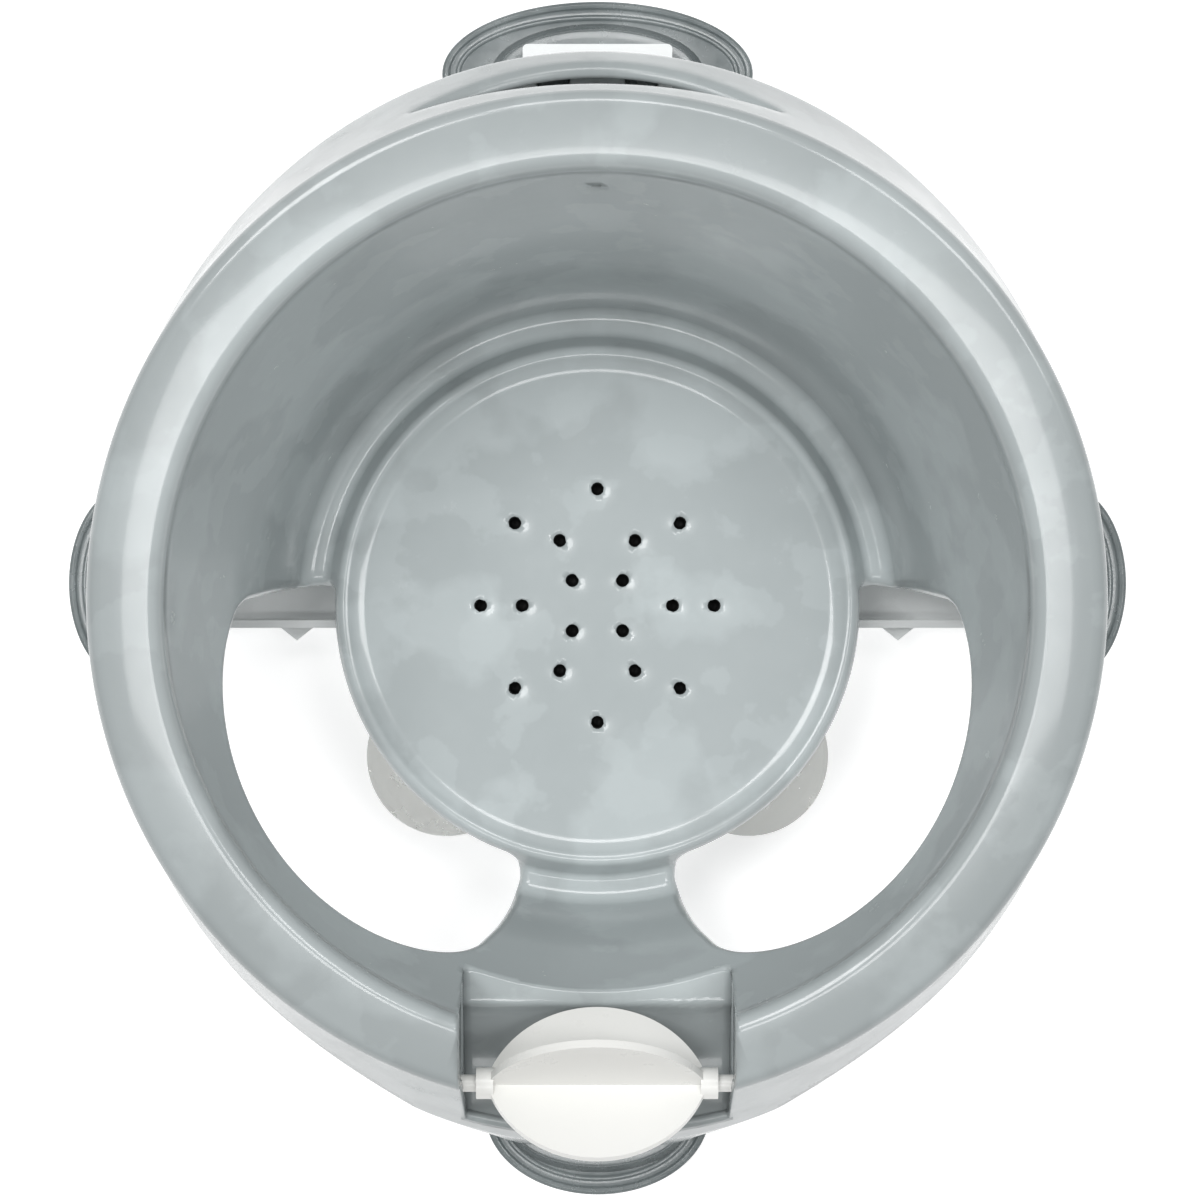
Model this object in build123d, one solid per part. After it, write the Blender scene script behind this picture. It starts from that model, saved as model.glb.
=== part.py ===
"""Baby bath seat with suction cups and a paddle-wheel toy.

A grey round pan is screwed to a white base frame. A grey bowl with a hollow ring round its top meets
the pan's rim, and a grey skirt is joined to the ring's outer edge and flares down to four legs. They
stand on the base frame's four feet. Four smoke-grey oval suction cups sit under the feet and four
milky round ones under the pan. A white paddle wheel turns in a pocket at the front of the ring.

Units are millimetres. +Z is up, +Y is towards the backrest and the floor is z = 0. Everything is
modelled about the pan's centre, and save() then moves it so that the origin is the middle of the
footprint.
"""

from build123d import *
import os
from math import atan, cos, degrees, radians, sin, sqrt

os.makedirs("parts", exist_ok=True)

# Whole object
WALL = 2.8  # moulded wall thickness
SEAT_Y = -2.3  # pan centre, from the middle of the footprint
BIG = 400.0  # longer than the object, for cutting tools

# Ring: round in plan, higher at the back than at the front
RING_SLOPE = 0.2222
RING_TILT = atan(RING_SLOPE)
RING_Y = -3.0
RING_Z = 170.0  # height of the ring's widest section at its centre
RING_RISE = 10.6  # crest above that section
RING_OUTER_R = 134.5
RING_INNER_R = 114.2
RING_ROUND = 9.4

# Shoulder: the edge where the apron turns down into the skirt
SHOULDER_DROP = 40.0
SHOULDER_A = 138.5
SHOULDER_B = 152.0
SHOULDER_Y = -3.7

# Foot of the skirt
SKIRT_Z = 16.0
SKIRT_A = 152.0
SKIRT_B = 171.0

# Seat pan: a raised disc with a rounded lip, and a valley between it and the bowl wall
PAN_Z = 52.0
PAN_FLAT_R = 71.0
PAN_LIP_R = 77.0
PAN_LIP_RISE = 3.0
PAN_LIP_HALF_W = 2.0
PAN_LIP_ROUND = 1.9
PAN_EDGE_R = 82.1
PAN_JOIN_R = 86.0  # where the pan's rim meets the foot of the bowl
VALLEY_R = 90.0
VALLEY_Z = 46.0

# Drain holes: ring radius, number of holes, first angle
DRAIN_R = 2.0
DRAIN_RINGS = ((35.4, 8, 0.0), (22.8, 6, 0.0), (10.8, 4, 45.0))

# Leg openings, on both sides of the crotch post
LEG_AIM = 214.8  # plan direction of the left one
LEG_HALF_W = 59.4
LEG_TOP_Z = 139.5
LEG_ROUND = 56.0
LEG_FALL = 0.6  # how much its roof drops for each millimetre outwards
LEG_FROM_R = 112.0  # where the roof is LEG_TOP_Z high
POST_HALF_W = 24.0
LEG_REAR_Y = 8.5
LEG_CORNER_R = 5.0
LEG_PEAK_R = 12.0

# The skirt's parts lie outside this radius and below the ring's widest section
WALLS_SPLIT_R = 122.0

# Arches in the skirt, between its four legs: plan direction, half width, top and rounding
FRONT_ARCH = (221.0, 112.0, 112.0, 90.0)
REAR_ARCH = (48.0, 86.0, 92.0, 60.0)
FRONT_POST_HALF_W = 30.0
REAR_POST_HALF_W = 30.0
SIDE_POST_FRONT_Y = 4.5
SIDE_POST_REAR_Y = 24.0

# Hand hole in the back of the apron, and the hanging slot in the bowl wall
HAND_TOP_Z = 190.0
HAND_HALF_W = 44.0
HAND_DEPTH = 15.0
HANG_Z = 184.0
HANG_W = 7.8
HANG_H = 2.6

# Paddle wheel
WHEEL_Y = -132.8
WHEEL_Z = 128.0
VANE_R = 23.3
VANE_HALF_W = 31.0
VANE_T = 2.4
VANE_TILT = 36.0
END_CAP_R = 4.4
END_CAP_FROM = 28.8
END_CAP_TO = 33.6
TAIL_HALF_H = 2.9
PIN_R = 2.4
PIN_TO = 39.8

# Pocket for the wheel, in the front of the ring
POCKET_HALF_W = 37.8
POCKET_R = 24.6
POCKET_EDGE_Z = 114.0
POCKET_ENTRY = 60.0
PIN_CLEAR = 0.06
PIN_END_GAP = 0.4
CHEEK = (7.0, 14.0, 60.0)  # block around each pin hole
CHEEK_DROP = 4.0

# Oval outer suction cups: name, centre, half-axes of the lip, the dome and the lug on top of it
OUTER_CUPS = (
    ("left", (-149.3, 7.0), (19.2, 31.0), (10.8, 24.0), (7.6, 20.0)),
    ("right", (149.3, 7.0), (19.2, 31.0), (10.8, 24.0), (7.6, 20.0)),
    ("front", (0.0, -161.6), (35.8, 26.2), (29.6, 17.2), (21.0, 9.6)),
    ("rear", (0.0, 169.4), (49.5, 23.0), (32.0, 14.0), (23.5, 7.0)),
)
STUD_PLACES = {
    "left": ((0.0, 0.0),),
    "right": ((0.0, 0.0),),
    "front": ((0.0, 0.0),),
    "rear": ((-14.0, -3.5), (14.0, -3.5)),
}
LUG_Z = 8.0
LUG_FLOOR_T = 3.0
REAR_LUG_DEPTH = 22.0
REAR_LUG_ROUND = 1.5
CUP_LIP_T = 1.3
CUP_EDGE_LEAN = 0.4
CUP_BEAD_W = 1.8
CUP_BEAD_T = 2.2
CUP_RIDGE_IN = 4.6
CUP_RIDGE_W = 1.0
CUP_RIDGE_Z = 1.9
CUP_SKIN = 4.0
CUP_DOME_LEAN = 1.2
CUP_ROOF_T = 2.2
STUD_R = 4.0
HEAD_R = 5.2
HEAD_T = 3.6
STUD_WELL_R = 5.8

# Round inner suction cups under the pan, on the diagonals
INNER_CUP_R = 25.5
INNER_CUP_RING_R = 68.0
INNER_LIP_Z = 0.4
INNER_LIP_T = 1.0
INNER_LIP_IN = 0.6
INNER_NECK_R = 8.0
INNER_NECK_DROP = 3.0

# Base frame
PLATE_Z = 14.0
PLATE_T = 3.0
PLATE_INNER_R = 38.0
PLATE_OUTER_R = 79.0
ARM_HALF_W = 14.0
ARM_RIB_T = 2.4
ARM_RIB_H = 10.0
ARM_TIP_X = 94.4
ARM_TIP_OUT = 4.0
ARM_TIP_HALF_W = 5.0
ARM_START_R = 70.0
ARM_OVERLAP = 3.0

# Screws up through the plate into bosses under the pan
SCREW_R = 1.6
SCREW_LENGTH = 14.0
SCREW_HEAD_R = 3.4
SCREW_HEAD_T = 2.2
SCREW_SLOT = (3.6, 0.8, 2.0)
SCREW_GAP = 0.2
BOSS_R = 4.6
BOSS_RING_R = 58.0
QUARTER_TURNS = (0.0, 90.0, 180.0, 270.0)


def save(shape, node):
    """Writes one node, moved from the pan's centre to the part's origin."""
    export_step(Pos(0, SEAT_Y, 0) * shape, f"parts/{node}.step")


def polar(radius, angle, z=0.0):
    """A position on a circle about the pan's centre."""
    return Pos(radius * cos(radians(angle)), radius * sin(radians(angle)), z)


def tube(radius, z_from, z_to):
    """An upright cylinder between two heights."""
    return Pos(0, 0, z_from) * extrude(Circle(radius), z_to - z_from)


def oval_loft(a, b, z_from, grow, z_to):
    """An upright oval block whose half-axes change by grow on the way up."""
    low = Pos(0, 0, z_from) * Ellipse(a, b)
    high = Pos(0, 0, z_to) * Ellipse(a + grow, b + grow)
    return loft([low, high])


def mirrored_pair(shape):
    """A shape and its mirror image on the other side of X = 0."""
    return shape + mirror(shape, Plane.YZ)


def ring_plane(drop=0.0):
    """The sloping plane of the ring's widest section, lowered by drop."""
    normal = (0, -sin(RING_TILT), cos(RING_TILT))
    return Plane(origin=(0, RING_Y, RING_Z - drop), x_dir=(1, 0, 0), z_dir=normal)


def sloped_oval(a, b, drop=0.0, centre_y=RING_Y):
    """An oval with plan half-axes a and b, lying in the sloping plane."""
    stretch = 1 / cos(RING_TILT)
    shift = Pos(0, (centre_y - RING_Y) * stretch, 0)
    return ring_plane(drop) * shift * Ellipse(a, b * stretch)


def upright(face, height):
    """A face extruded straight up."""
    return extrude(face, amount=height, dir=(0, 0, 1))


def outer_form(inset):
    """The outside of the skirt, apron and ring, drawn in by inset."""
    foot = Pos(0, 0, SKIRT_Z - inset) * Ellipse(SKIRT_A - inset, SKIRT_B - inset)
    shoulder = sloped_oval(SHOULDER_A - inset, SHOULDER_B - inset, SHOULDER_DROP, SHOULDER_Y)
    ring = sloped_oval(RING_OUTER_R - inset, RING_OUTER_R - inset)
    return loft([foot, shoulder]) + loft([shoulder, ring]) + upright(ring, RING_RISE - inset)


def inner_form(outset):
    """The inside of the bowl, grown by outset."""
    valley = Pos(0, 0, VALLEY_Z - WALL) * Circle(VALLEY_R + outset)
    ring = sloped_oval(RING_INNER_R + outset, RING_INNER_R + outset)
    return loft([valley, ring]) + upright(ring, 3 * RING_RISE)


def round_crest(block, radius):
    """Rounds both edges of the block's sloping top face."""
    up = Axis((0, 0, 0), (0, -sin(RING_TILT), cos(RING_TILT)))
    crest = block.faces().sort_by(up)[-1]
    return fillet(crest.edges(), radius)


def seat_pan():
    """The raised disc with its lip, and the valley that joins it to the bowl wall."""
    lip_z = PAN_Z + PAN_LIP_RISE
    under_r = PAN_LIP_R - 0.25
    under_half_w = 0.65
    slope_shift = 0.9
    top = [
        (0, PAN_Z),
        (PAN_FLAT_R, PAN_Z),
        (PAN_LIP_R - PAN_LIP_HALF_W, lip_z),
        (PAN_LIP_R + PAN_LIP_HALF_W, lip_z),
        (PAN_EDGE_R, VALLEY_Z),
        (VALLEY_R + WALL, VALLEY_Z),
    ]
    under = [
        (VALLEY_R + WALL, VALLEY_Z - WALL),
        (PAN_EDGE_R - WALL, VALLEY_Z - WALL),
        (under_r + under_half_w, lip_z - WALL),
        (under_r - under_half_w, lip_z - WALL),
        (PAN_FLAT_R + slope_shift, PAN_Z - WALL),
        (0, PAN_Z - WALL),
    ]
    section = make_face(Polyline(*top, *under, close=True))
    lip_corners = section.vertices().filter_by_position(Axis.Y, lip_z - 0.1, lip_z + 0.1)
    section = fillet(lip_corners, PAN_LIP_ROUND)
    return revolve(Plane.XZ * section, Axis.Z)


def aimed_arch(aim, half_width, top_z, rounding, fall=0.0, from_r=0.0):
    """A round-topped prism that points outwards in plan, with a roof that falls as it goes."""
    rise = top_z + fall * from_r
    height = rise + BIG
    outline = Pos(0, rise - height / 2) * RectangleRounded(2 * half_width, height, rounding)
    outward = (cos(radians(aim)), sin(radians(aim)), 0)
    across = (-sin(radians(aim)), cos(radians(aim)), 0)
    wall = Plane(origin=(0, 0, 0), x_dir=across, z_dir=outward)
    return extrude(wall * outline, amount=BIG, dir=(outward[0], outward[1], -fall))


def leg_opening():
    """The space a leg passes through, on the left side."""
    plan = Pos(-POST_HALF_W - BIG / 2, LEG_REAR_Y - BIG / 2) * Rectangle(BIG, BIG)
    plan &= Rot(0, 0, LEG_AIM) * Pos(BIG / 2, 0) * Rectangle(BIG, 2 * LEG_HALF_W)
    peak = plan.vertices().sort_by(Axis.Y)[-2:].sort_by(Axis.X)[0]
    plan = fillet(peak, LEG_PEAK_R) - Circle(PAN_EDGE_R)
    near_pan = plan.vertices().filter_by(lambda v: sqrt(v.X**2 + v.Y**2) < PAN_EDGE_R + 1)
    plan = fillet(near_pan, LEG_CORNER_R) & Circle(WALLS_SPLIT_R)
    reach = aimed_arch(LEG_AIM, LEG_HALF_W, LEG_TOP_Z, LEG_ROUND, LEG_FALL, LEG_FROM_R)
    return extrude(plan, BIG) & reach


def skirt_arch(arch, from_x, from_y):
    """The space between two of the skirt's legs, beyond from_x and from_y in the arch's direction."""
    aim = arch[0]
    side_x = 1 if cos(radians(aim)) > 0 else -1
    side_y = 1 if sin(radians(aim)) > 0 else -1
    plan = Pos(side_x * BIG / 2 + from_x, side_y * BIG / 2 + from_y) * Rectangle(BIG, BIG)
    plan -= Circle(WALLS_SPLIT_R)
    return extrude(plan, BIG) & aimed_arch(*arch)


def drain_holes():
    """The pan's drain holes, in three rings."""
    drill = tube(DRAIN_R, VALLEY_Z - WALL, PAN_Z + 1)
    holes = [
        polar(ring_r, first + 360 / count * i) * drill
        for ring_r, count, first in DRAIN_RINGS
        for i in range(count)
    ]
    return Part() + holes


def hand_hole():
    """A lens-shaped hole through the back of the apron."""
    sweep_r = (HAND_HALF_W**2 + HAND_DEPTH**2 / 4) / HAND_DEPTH
    offset = sweep_r - HAND_DEPTH / 2
    lens = Pos(0, offset) * Circle(sweep_r) & Pos(0, -offset) * Circle(sweep_r)
    middle = (0, RING_INNER_R + 8, HAND_TOP_Z - HAND_DEPTH / 2)
    back = Plane(origin=middle, x_dir=(1, 0, 0), z_dir=(0, 1, 0))
    return extrude(back * lens, BIG)


def hanging_slot():
    """A small slot through the back of the bowl wall."""
    return Pos(0, RING_INNER_R - 4, HANG_Z) * Box(HANG_W, 16, HANG_H)


def pocket(extra):
    """The space around the paddle wheel, grown by extra."""
    half = POCKET_HALF_W + extra
    sweep = Rot(0, 90, 0) * Cylinder(POCKET_R + extra, 2 * half)
    above = Pos(0, 0, BIG / 2) * Box(2 * half, 2 * (POCKET_R + extra), BIG)
    return Pos(0, WHEEL_Y, WHEEL_Z) * (sweep + above)


def pocket_entry():
    """The low edge between the pocket and the bowl."""
    middle = Pos(0, WHEEL_Y + POCKET_ENTRY / 2, POCKET_EDGE_Z + BIG / 2)
    return middle * Box(2 * POCKET_HALF_W, POCKET_ENTRY, BIG)


def pin_holes():
    """Blind round holes in the pocket's sides for the wheel's pins."""
    drill = Rot(0, 90, 0) * Cylinder(PIN_R + PIN_CLEAR, 2 * (PIN_TO + PIN_END_GAP))
    return Pos(0, WHEEL_Y, WHEEL_Z) * drill


def pin_blocks(block):
    """Solid blocks in the hollow ring that carry the pin holes."""
    middle = Pos(POCKET_HALF_W + CHEEK[0] / 2, WHEEL_Y, WHEEL_Z - CHEEK_DROP)
    return mirrored_pair(middle * Box(*CHEEK)) & block


def pan_bosses():
    """Screw bosses that stand on the plate and carry the pan."""
    drill = tube(SCREW_R, 0, PLATE_Z + SCREW_LENGTH + 1)
    post = tube(BOSS_R, PLATE_Z + PLATE_T, PAN_Z - WALL / 2) - drill
    return Part() + [polar(BOSS_RING_R, turn) * post for turn in QUARTER_TURNS]


def seat_shell():
    """All the grey pieces together: pan, bowl, ring, apron, skirt and legs."""
    block = round_crest(outer_form(0) - inner_form(0), RING_ROUND)
    hollow = round_crest(outer_form(WALL) - inner_form(WALL), RING_ROUND - WALL)
    liner = block & pocket(WALL)
    shell = block - hollow + liner + pin_blocks(block)
    shell -= pocket(0) + pocket_entry()
    shell -= pin_holes()
    shell -= hand_hole() + hanging_slot()
    shell += seat_pan() + pan_bosses()
    shell -= mirrored_pair(leg_opening())
    shell -= mirrored_pair(skirt_arch(FRONT_ARCH, -FRONT_POST_HALF_W, SIDE_POST_FRONT_Y))
    shell -= mirrored_pair(skirt_arch(REAR_ARCH, REAR_POST_HALF_W, SIDE_POST_REAR_Y))
    shell -= drain_holes()
    return shell


def pan_zone():
    """Everything inside the joint round the pan."""
    return tube(PAN_JOIN_R, 0, BIG)


def bowl_zone():
    """Everything above the ring's widest section, and everything inside the skirt."""
    above = ring_plane() * Pos(0, 0, BIG / 4) * Box(BIG, BIG, BIG / 2)
    return above + tube(WALLS_SPLIT_R, 0, BIG)


def stud():
    """A stud under z = 0 of its seat: a neck through the wall above it and a wider head."""
    return tube(STUD_R, -CUP_ROOF_T, LUG_FLOOR_T) + tube(HEAD_R, LUG_FLOOR_T, LUG_FLOOR_T + HEAD_T)


def oval_ring(a, b, width, top_z):
    """A low upright ring that follows an oval."""
    outer = oval_loft(a, b, 0, 0, top_z)
    return outer - oval_loft(a - width, b - width, 0, 0, top_z)


def outer_cup(lip, dome, studs):
    """An oval suction cup: thin lip with a bead and a ridge, dome, and studs that snap into the lug."""
    cup = oval_loft(*lip, 0, -CUP_EDGE_LEAN, CUP_LIP_T)
    cup += oval_ring(*[half - CUP_EDGE_LEAN for half in lip], CUP_BEAD_W, CUP_BEAD_T)
    cup += oval_ring(*[half - CUP_RIDGE_IN for half in lip], CUP_RIDGE_W, CUP_RIDGE_Z)
    cup += oval_loft(*dome, 0, -CUP_DOME_LEAN, LUG_Z)
    cup -= oval_loft(*[half - 1 for half in dome], 0, -CUP_SKIN, LUG_Z - CUP_ROOF_T)
    return cup + [Pos(x, y, LUG_Z) * stud() for x, y in studs]


def inner_cup():
    """A round suction cup with a dished lip and a stud that snaps into the plate."""
    r = INNER_CUP_R
    lip_z = INNER_LIP_Z
    lip_top = (r, lip_z + INNER_LIP_T)
    lip_foot = (r - INNER_LIP_IN, lip_z)
    neck_z = PLATE_Z - INNER_NECK_DROP
    neck = (INNER_NECK_R, neck_z)
    roof = (0, neck_z - CUP_ROOF_T)
    outside = Spline(lip_top, (0.72 * r, lip_z + 5.4), neck, tangents=((-1, 0.35), (-0.7, 1)))
    inside = Spline(roof, (0.6 * r, lip_z + 4.4), lip_foot, tangents=((1, 0), (1, -0.4)))
    middle = Polyline(neck, (INNER_NECK_R, PLATE_Z), (0, PLATE_Z), roof)
    section = make_face(outside + middle + inside + Line(lip_foot, lip_top))
    return revolve(Plane.XZ * section, Axis.Z) + Pos(0, 0, PLATE_Z) * stud()


def arm(length, half_width):
    """A channel-shaped arm along +X, from the plate to a foot."""
    span = length - ARM_START_R
    middle = (length + ARM_START_R) / 2
    floor = Pos(middle, 0, PLATE_Z + PLATE_T / 2) * Box(span, 2 * half_width, PLATE_T)
    rib_y = half_width - ARM_RIB_T / 2
    rib_z = PLATE_Z + ARM_RIB_H / 2
    ribs = [Pos(middle, side * rib_y, rib_z) * Box(span, ARM_RIB_T, ARM_RIB_H) for side in (-1, 1)]
    return floor + ribs


def arm_to(centre, lug):
    """The arm that reaches one foot's lug."""
    x, y = centre
    if x:
        turn, side_y, reach = (0 if x > 0 else 180), y, abs(x) - lug[0]
    else:
        turn, side_y, reach = (90 if y > 0 else 270), 0, abs(y) - lug[1]
    return Pos(0, side_y, 0) * Rot(0, 0, turn) * arm(reach + ARM_OVERLAP, ARM_HALF_W)


def arm_tip():
    """A small triangular gusset on the front edge of the left arm."""
    base_y = OUTER_CUPS[0][1][1] - ARM_HALF_W
    outline = Polyline(
        (-ARM_TIP_X - ARM_TIP_HALF_W, base_y),
        (-ARM_TIP_X, base_y - ARM_TIP_OUT),
        (-ARM_TIP_X + ARM_TIP_HALF_W, base_y),
        close=True,
    )
    return Pos(0, 0, PLATE_Z) * extrude(make_face(outline), PLATE_T)


def foot_lug(name, lug):
    """The block on top of a cup's dome: oval, but square-ended at the rear."""
    if name != "rear":
        return oval_loft(*lug, LUG_Z, 0, SKIRT_Z)
    outline = Pos(0, lug[1] - REAR_LUG_DEPTH / 2) * RectangleRounded(
        2 * lug[0], REAR_LUG_DEPTH, REAR_LUG_ROUND
    )
    return Pos(0, 0, LUG_Z) * extrude(outline, SKIRT_Z - LUG_Z)


def base_frame():
    """The white frame: plate, four arms and four foot lugs."""
    frame = tube(PLATE_OUTER_R, PLATE_Z, PLATE_Z + PLATE_T)
    frame -= tube(PLATE_INNER_R, PLATE_Z, PLATE_Z + PLATE_T)
    frame += mirrored_pair(arm_tip())
    well = tube(STUD_WELL_R, LUG_Z + LUG_FLOOR_T, SKIRT_Z + ARM_RIB_H)
    well += tube(STUD_R, LUG_Z, LUG_Z + LUG_FLOOR_T)
    for name, centre, _, _, lug in OUTER_CUPS:
        frame += arm_to(centre, lug)
        frame += Pos(*centre) * foot_lug(name, lug)
        frame -= [Pos(*centre) * Pos(x, y) * well for x, y in STUD_PLACES[name]]
    for turn in QUARTER_TURNS:
        frame -= polar(INNER_CUP_RING_R, turn + 45) * tube(STUD_R, 0, BIG)
        frame -= polar(BOSS_RING_R, turn) * tube(SCREW_R + SCREW_GAP, 0, BIG)
    return frame


def base_screws():
    """The screws that hold the pan to the plate."""
    head = tube(SCREW_HEAD_R, PLATE_Z - SCREW_HEAD_T, PLATE_Z)
    slot = Box(*SCREW_SLOT)
    socket = Pos(0, 0, PLATE_Z - SCREW_HEAD_T) * (slot + Rot(0, 0, 90) * slot)
    screw = head - socket + tube(SCREW_R, PLATE_Z, PLATE_Z + SCREW_LENGTH)
    return Compound([polar(BOSS_RING_R, turn) * screw for turn in QUARTER_TURNS])


def vane_outline():
    """The lemon-shaped outline of a pair of vanes, with short tails for the end caps."""
    sweep_r = (VANE_HALF_W**2 + VANE_R**2) / (2 * VANE_R)
    offset = sweep_r - VANE_R
    lens = Pos(0, offset) * Circle(sweep_r) & Pos(0, -offset) * Circle(sweep_r)
    tail = Rectangle(2 * (END_CAP_TO - 1.5), 2 * TAIL_HALF_H)
    return lens + tail


def vane_plate(slot_side):
    """One vane plate, slotted from one end to the middle for the other plate."""
    plate = extrude(vane_outline(), VANE_T / 2, both=True)
    slot = Pos(slot_side * BIG / 2, 0, 0) * Box(BIG, VANE_T, VANE_T)
    return plate - slot


def at_wheel(shape, turn):
    """Puts a wheel piece on the wheel's axis, turned about it."""
    return Pos(0, WHEEL_Y, WHEEL_Z) * Rot(turn, 0, 0) * shape


def rod(radius, x_from, x_to):
    """A round bar along X between two distances from the wheel's middle."""
    return Pos((x_from + x_to) / 2, 0, 0) * Rot(0, 90, 0) * Cylinder(radius, x_to - x_from)


def end_cap(side):
    """A round cap that grips the tails of both plates and carries a pin."""
    cap = rod(END_CAP_R, END_CAP_FROM, END_CAP_TO) + rod(PIN_R, END_CAP_TO, PIN_TO)
    grip = extrude(vane_outline(), VANE_T / 2, both=True)
    grip += Rot(90, 0, 0) * grip
    return Rot(0, 0, 0 if side > 0 else 180) * (cap - grip)


whole_shell = seat_shell()
save(whole_shell & pan_zone(), "seat_pan")
save(whole_shell & (bowl_zone() - pan_zone()), "bowl_ring")
save(whole_shell - bowl_zone(), "skirt")
save(base_frame(), "base_frame")
save(base_screws(), "base_screws")
for name, centre, lip, dome, _ in OUTER_CUPS:
    save(Pos(*centre) * outer_cup(lip, dome, STUD_PLACES[name]), f"outer_cup_{name}")
for name, angle in (("rear_right", 45), ("rear_left", 135), ("front_left", 225), ("front_right", 315)):
    save(polar(INNER_CUP_RING_R, angle) * inner_cup(), f"inner_cup_{name}")
save(at_wheel(vane_plate(1), -VANE_TILT), "vane_plate_low")
save(at_wheel(vane_plate(-1), 90 - VANE_TILT), "vane_plate_high")
save(at_wheel(end_cap(-1), -VANE_TILT), "end_cap_left")
save(at_wheel(end_cap(1), -VANE_TILT), "end_cap_right")
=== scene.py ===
"""The baby bath seat's looks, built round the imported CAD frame.

The shell is one curved sheet of moulded plastic: a section runs from the pan's centre, over the
pan's lip, up the bowl wall, over the ring and down the apron and skirt. It is swept round the seat,
its openings are cut and their edges turned over, and it is then given its wall thickness. Lengths
in the section functions are millimetres about the pan's centre; MM turns them into metres.
"""

import math

import bmesh
import bpy
import numpy as np
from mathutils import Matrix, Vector


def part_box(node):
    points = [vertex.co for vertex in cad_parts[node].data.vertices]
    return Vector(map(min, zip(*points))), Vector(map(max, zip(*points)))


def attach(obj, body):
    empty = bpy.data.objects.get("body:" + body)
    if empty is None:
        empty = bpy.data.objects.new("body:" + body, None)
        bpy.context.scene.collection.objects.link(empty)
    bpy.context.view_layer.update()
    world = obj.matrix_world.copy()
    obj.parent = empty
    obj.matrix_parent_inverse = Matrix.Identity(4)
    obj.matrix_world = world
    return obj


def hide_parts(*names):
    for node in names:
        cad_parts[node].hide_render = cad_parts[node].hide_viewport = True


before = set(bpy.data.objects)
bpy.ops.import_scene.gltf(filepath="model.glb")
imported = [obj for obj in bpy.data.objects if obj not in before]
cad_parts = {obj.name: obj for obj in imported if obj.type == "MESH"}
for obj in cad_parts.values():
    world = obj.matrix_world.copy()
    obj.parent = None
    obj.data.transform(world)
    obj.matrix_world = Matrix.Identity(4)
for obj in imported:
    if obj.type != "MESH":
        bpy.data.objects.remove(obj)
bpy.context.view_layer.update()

MM = 0.001

# Steps of the shell's sheet round the seat, and how they crowd together at the pocket's sides
AROUND = 320
CROWDING = 4.0
CROWD_ANGLE = 0.06
ARC_STEPS = 9


def box_mm(node):
    """A node's lowest and highest corners in millimetres."""
    low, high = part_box(node)
    return np.array(low) / MM, np.array(high) / MM


# Sizes that come from the frame
skirt_low, skirt_high = box_mm("skirt")
screw_low, screw_high = box_mm("base_screws")
wheel_low, wheel_high = box_mm("end_cap_right")
SEAT_Y = (screw_low[1] + screw_high[1]) / 2
FOOT_B = (skirt_high[1] - skirt_low[1]) / 2
FOOT_Z = skirt_low[2]
WHEEL_Y = (wheel_low[1] + wheel_high[1]) / 2 - SEAT_Y
WHEEL_Z = (wheel_low[2] + wheel_high[2]) / 2
SEAT = Vector((0, SEAT_Y * MM, 0))

# Section of the shell
WALL = 2.6
FOOT_A = 152.0
RING_SLOPE = 0.2222  # rise of the ring per unit length towards the back
RING_Y = -3.0
RING_Z = 170.0  # the ring's height at its own centre
RING_RISE = 9.1  # from the ring's widest section to its crest
RING_OUTER_R = 134.5
RING_INNER_R = 114.2
RING_ROUND = 10.0
SHOULDER_DROP = 40.0  # the apron's widest line lies this far under the ring
SHOULDER_A = 138.5
SHOULDER_B = 152.0
SHOULDER_Y = -3.7
PAN_Z = 52.0
PAN_CENTRE_R = 2.0  # the sheet's innermost row, which a fan of triangles closes
PAN_DISH = 1.4
DISH_POWER = 0.7
PAN_FLAT_R = 72.5
PAN_LIP_R = 77.5
PAN_LIP_Z = 55.4
PAN_SIDE_R = 82.3
VALLEY_R = 90.0
VALLEY_Z = 46.0

# Openings. An arch is its direction in degrees, half-width, top and rounding.
EDGE_ROLL = 3.0
LEG_LIP = 1.6
SKIRT_LIP = 1.0
LEG_ARCH = (215.0, 59.0, 132.0, 59.0)
LEG_FALL = 0.6  # fall of the leg arch's top per unit length outwards
LEG_FROM_R = 112.0  # where the leg arch's top has its stated height
LEG_PAN_R = 82.1
POST_HALF_W = 23.2
LEG_REAR_Y = 8.5
LEG_PAN_CORNER_R = 5.0
LEG_CORNER_R = 10.0
FRONT_ARCH = (221.0, 112.0, 112.0, 90.0)
REAR_ARCH = (48.0, 86.0, 92.0, 60.0)
ARCH_CORNER_R = 14.0
WALLS_SPLIT_R = 122.0  # lies between the bowl wall and the apron
SKIRT_POST_HALF_W = 30.0
SIDE_POST_FRONT_Y = 4.5
SIDE_POST_REAR_Y = 24.0
DRAIN_R = 2.0
DRAIN_DEPTH = 9.0
COLLAR_WALL = 1.0
COLLAR_INSET = 0.15
COLLAR_WEB = 0.6
DIMPLE_R = 3.8
DIMPLE_DEPTH = 0.5
DRAIN_RINGS = ((35.4, 8, 0.0), (22.8, 6, 0.0), (10.8, 4, 45.0))  # radius, count, first angle
HAND_TOP_Z = 190.0
HAND_HALF_W = 44.0
HAND_DEPTH = 15.0
HANG_Z = 184.0
HANG_W = 7.8
HANG_H = 2.6
HANG_CORNER_R = 2.0
HANG_FROM_Y = 80.0
POCKET_HALF_W = 37.8
POCKET_R = 24.6
POCKET_EDGE_Z = 114.0
POCKET_ENTRY = 60.0  # how far behind the wheel the pocket's open back may reach
PIN_HOLE_R = 2.5
POCKET_WALL_DROP = 0.5  # the end walls stop this far under the ring's surface
TROUGH_WALL = 2.2

# Where the shell's painted rim shade starts to deepen, and its gloss starts and stops fading, from the
# middle
RIM_PAINTED_SHADE = 0.3
PAINTED_SHADE_R = 104.0
GLOSS_R = 127.0
DULL_R = 141.0

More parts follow.
